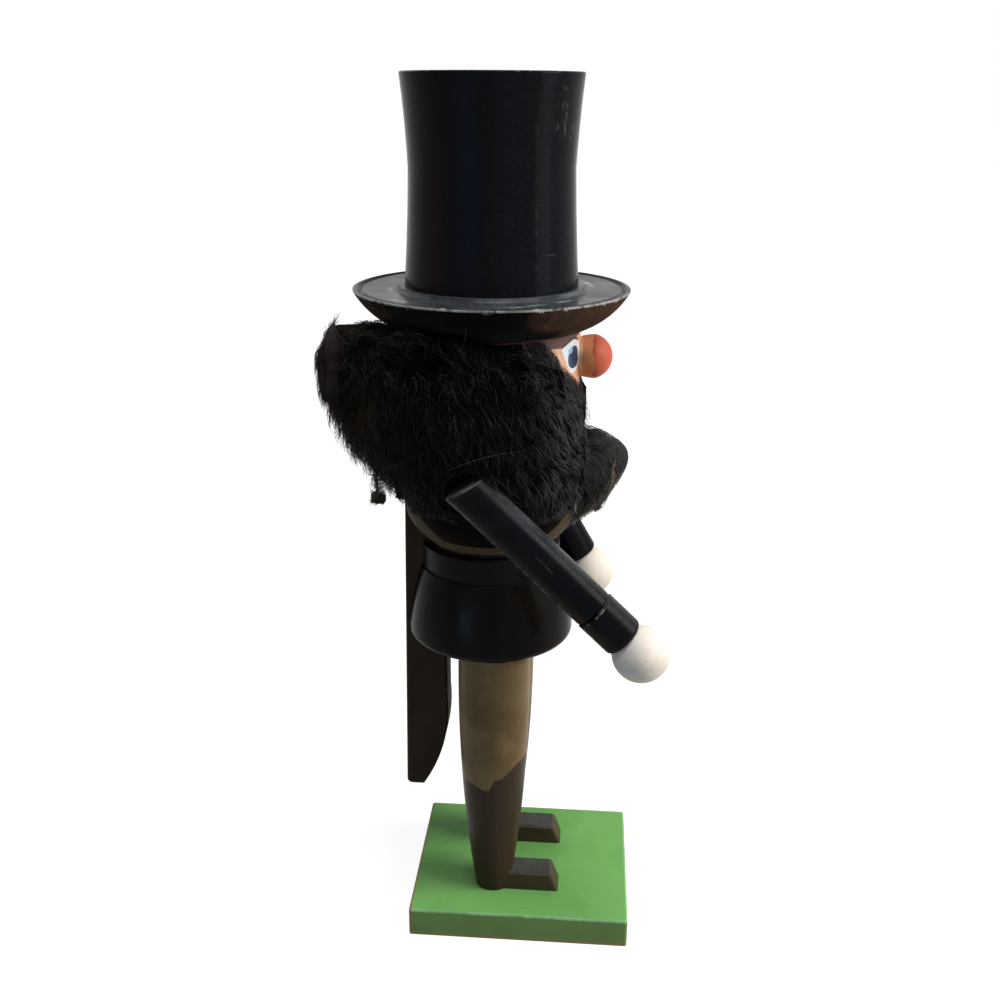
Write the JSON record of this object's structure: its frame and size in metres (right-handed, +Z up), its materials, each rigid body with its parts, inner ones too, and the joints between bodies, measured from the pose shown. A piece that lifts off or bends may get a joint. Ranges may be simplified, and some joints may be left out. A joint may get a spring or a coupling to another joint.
{
  "type": "wooden nutcracker figure",
  "caption": "Standing turned-wood nutcracker in a tall hat with fur hair and beard; a tail lever at its back opens and closes the jaw.",
  "frame": {"origin": "on the underside of the base, below the axis on which body, head and hat are turned", "axes": "+Z up through body and hat, the figure faces -Y, its left hand is at +X"},
  "size_m": [0.1186, 0.1535, 0.38],
  "materials": {
    "green_paint": "satin green paint on wood",
    "boot_paint": "semi-gloss dark grey paint on wood",
    "trouser_paint": "satin olive-tan paint on wood",
    "coat_lacquer": "gloss black paint on wood",
    "lever_paint": "satin black paint on wood",
    "skin_paint": "satin flesh paint on wood",
    "nose_paint": "gloss orange paint on wood",
    "hat_lacquer": "gloss black paint on wood, worn at the rim",
    "hand_wood": "matt pale wood",
    "bare_wood": "bare beech",
    "fur": "black rabbit fur on a thin hide backing"
  },
  "bodies": {
    "figure": {"base_plinth": "green_paint", "shoe_right": "boot_paint", "shoe_left": "boot_paint", "leg_right": "trouser_paint", "leg_left": "trouser_paint", "skirt_block": "coat_lacquer", "chest_right": "coat_lacquer", "chest_left": "coat_lacquer", "chest_core": "coat_lacquer", "head_block": "skin_paint", "pivot_pin": "bare_wood", "arm_right": "coat_lacquer", "arm_left": "coat_lacquer", "hand_right": "hand_wood", "hand_left": "hand_wood", "shoulder_dowel_right": "bare_wood", "shoulder_dowel_left": "bare_wood", "hand_dowels": "bare_wood", "hip_dowels": "bare_wood", "ankle_dowels": "bare_wood", "waist_dowels": "bare_wood", "neck_dowels": "bare_wood", "hat_dowel": "bare_wood", "nose": "nose_paint", "hat_brim": "hat_lacquer", "hat_crown": "hat_lacquer", "hair": "fur"},
    "lever": {"jaw_lever": "lever_paint", "beard": "fur"}
  },
  "joints": [
    {"name": "jaw_pivot", "type": "hinge", "parent": "figure", "child": "lever", "pos_m": [0, 0.003, 0.213], "axis": [1, 0, 0], "range_deg": [0, 20]}
  ]
}
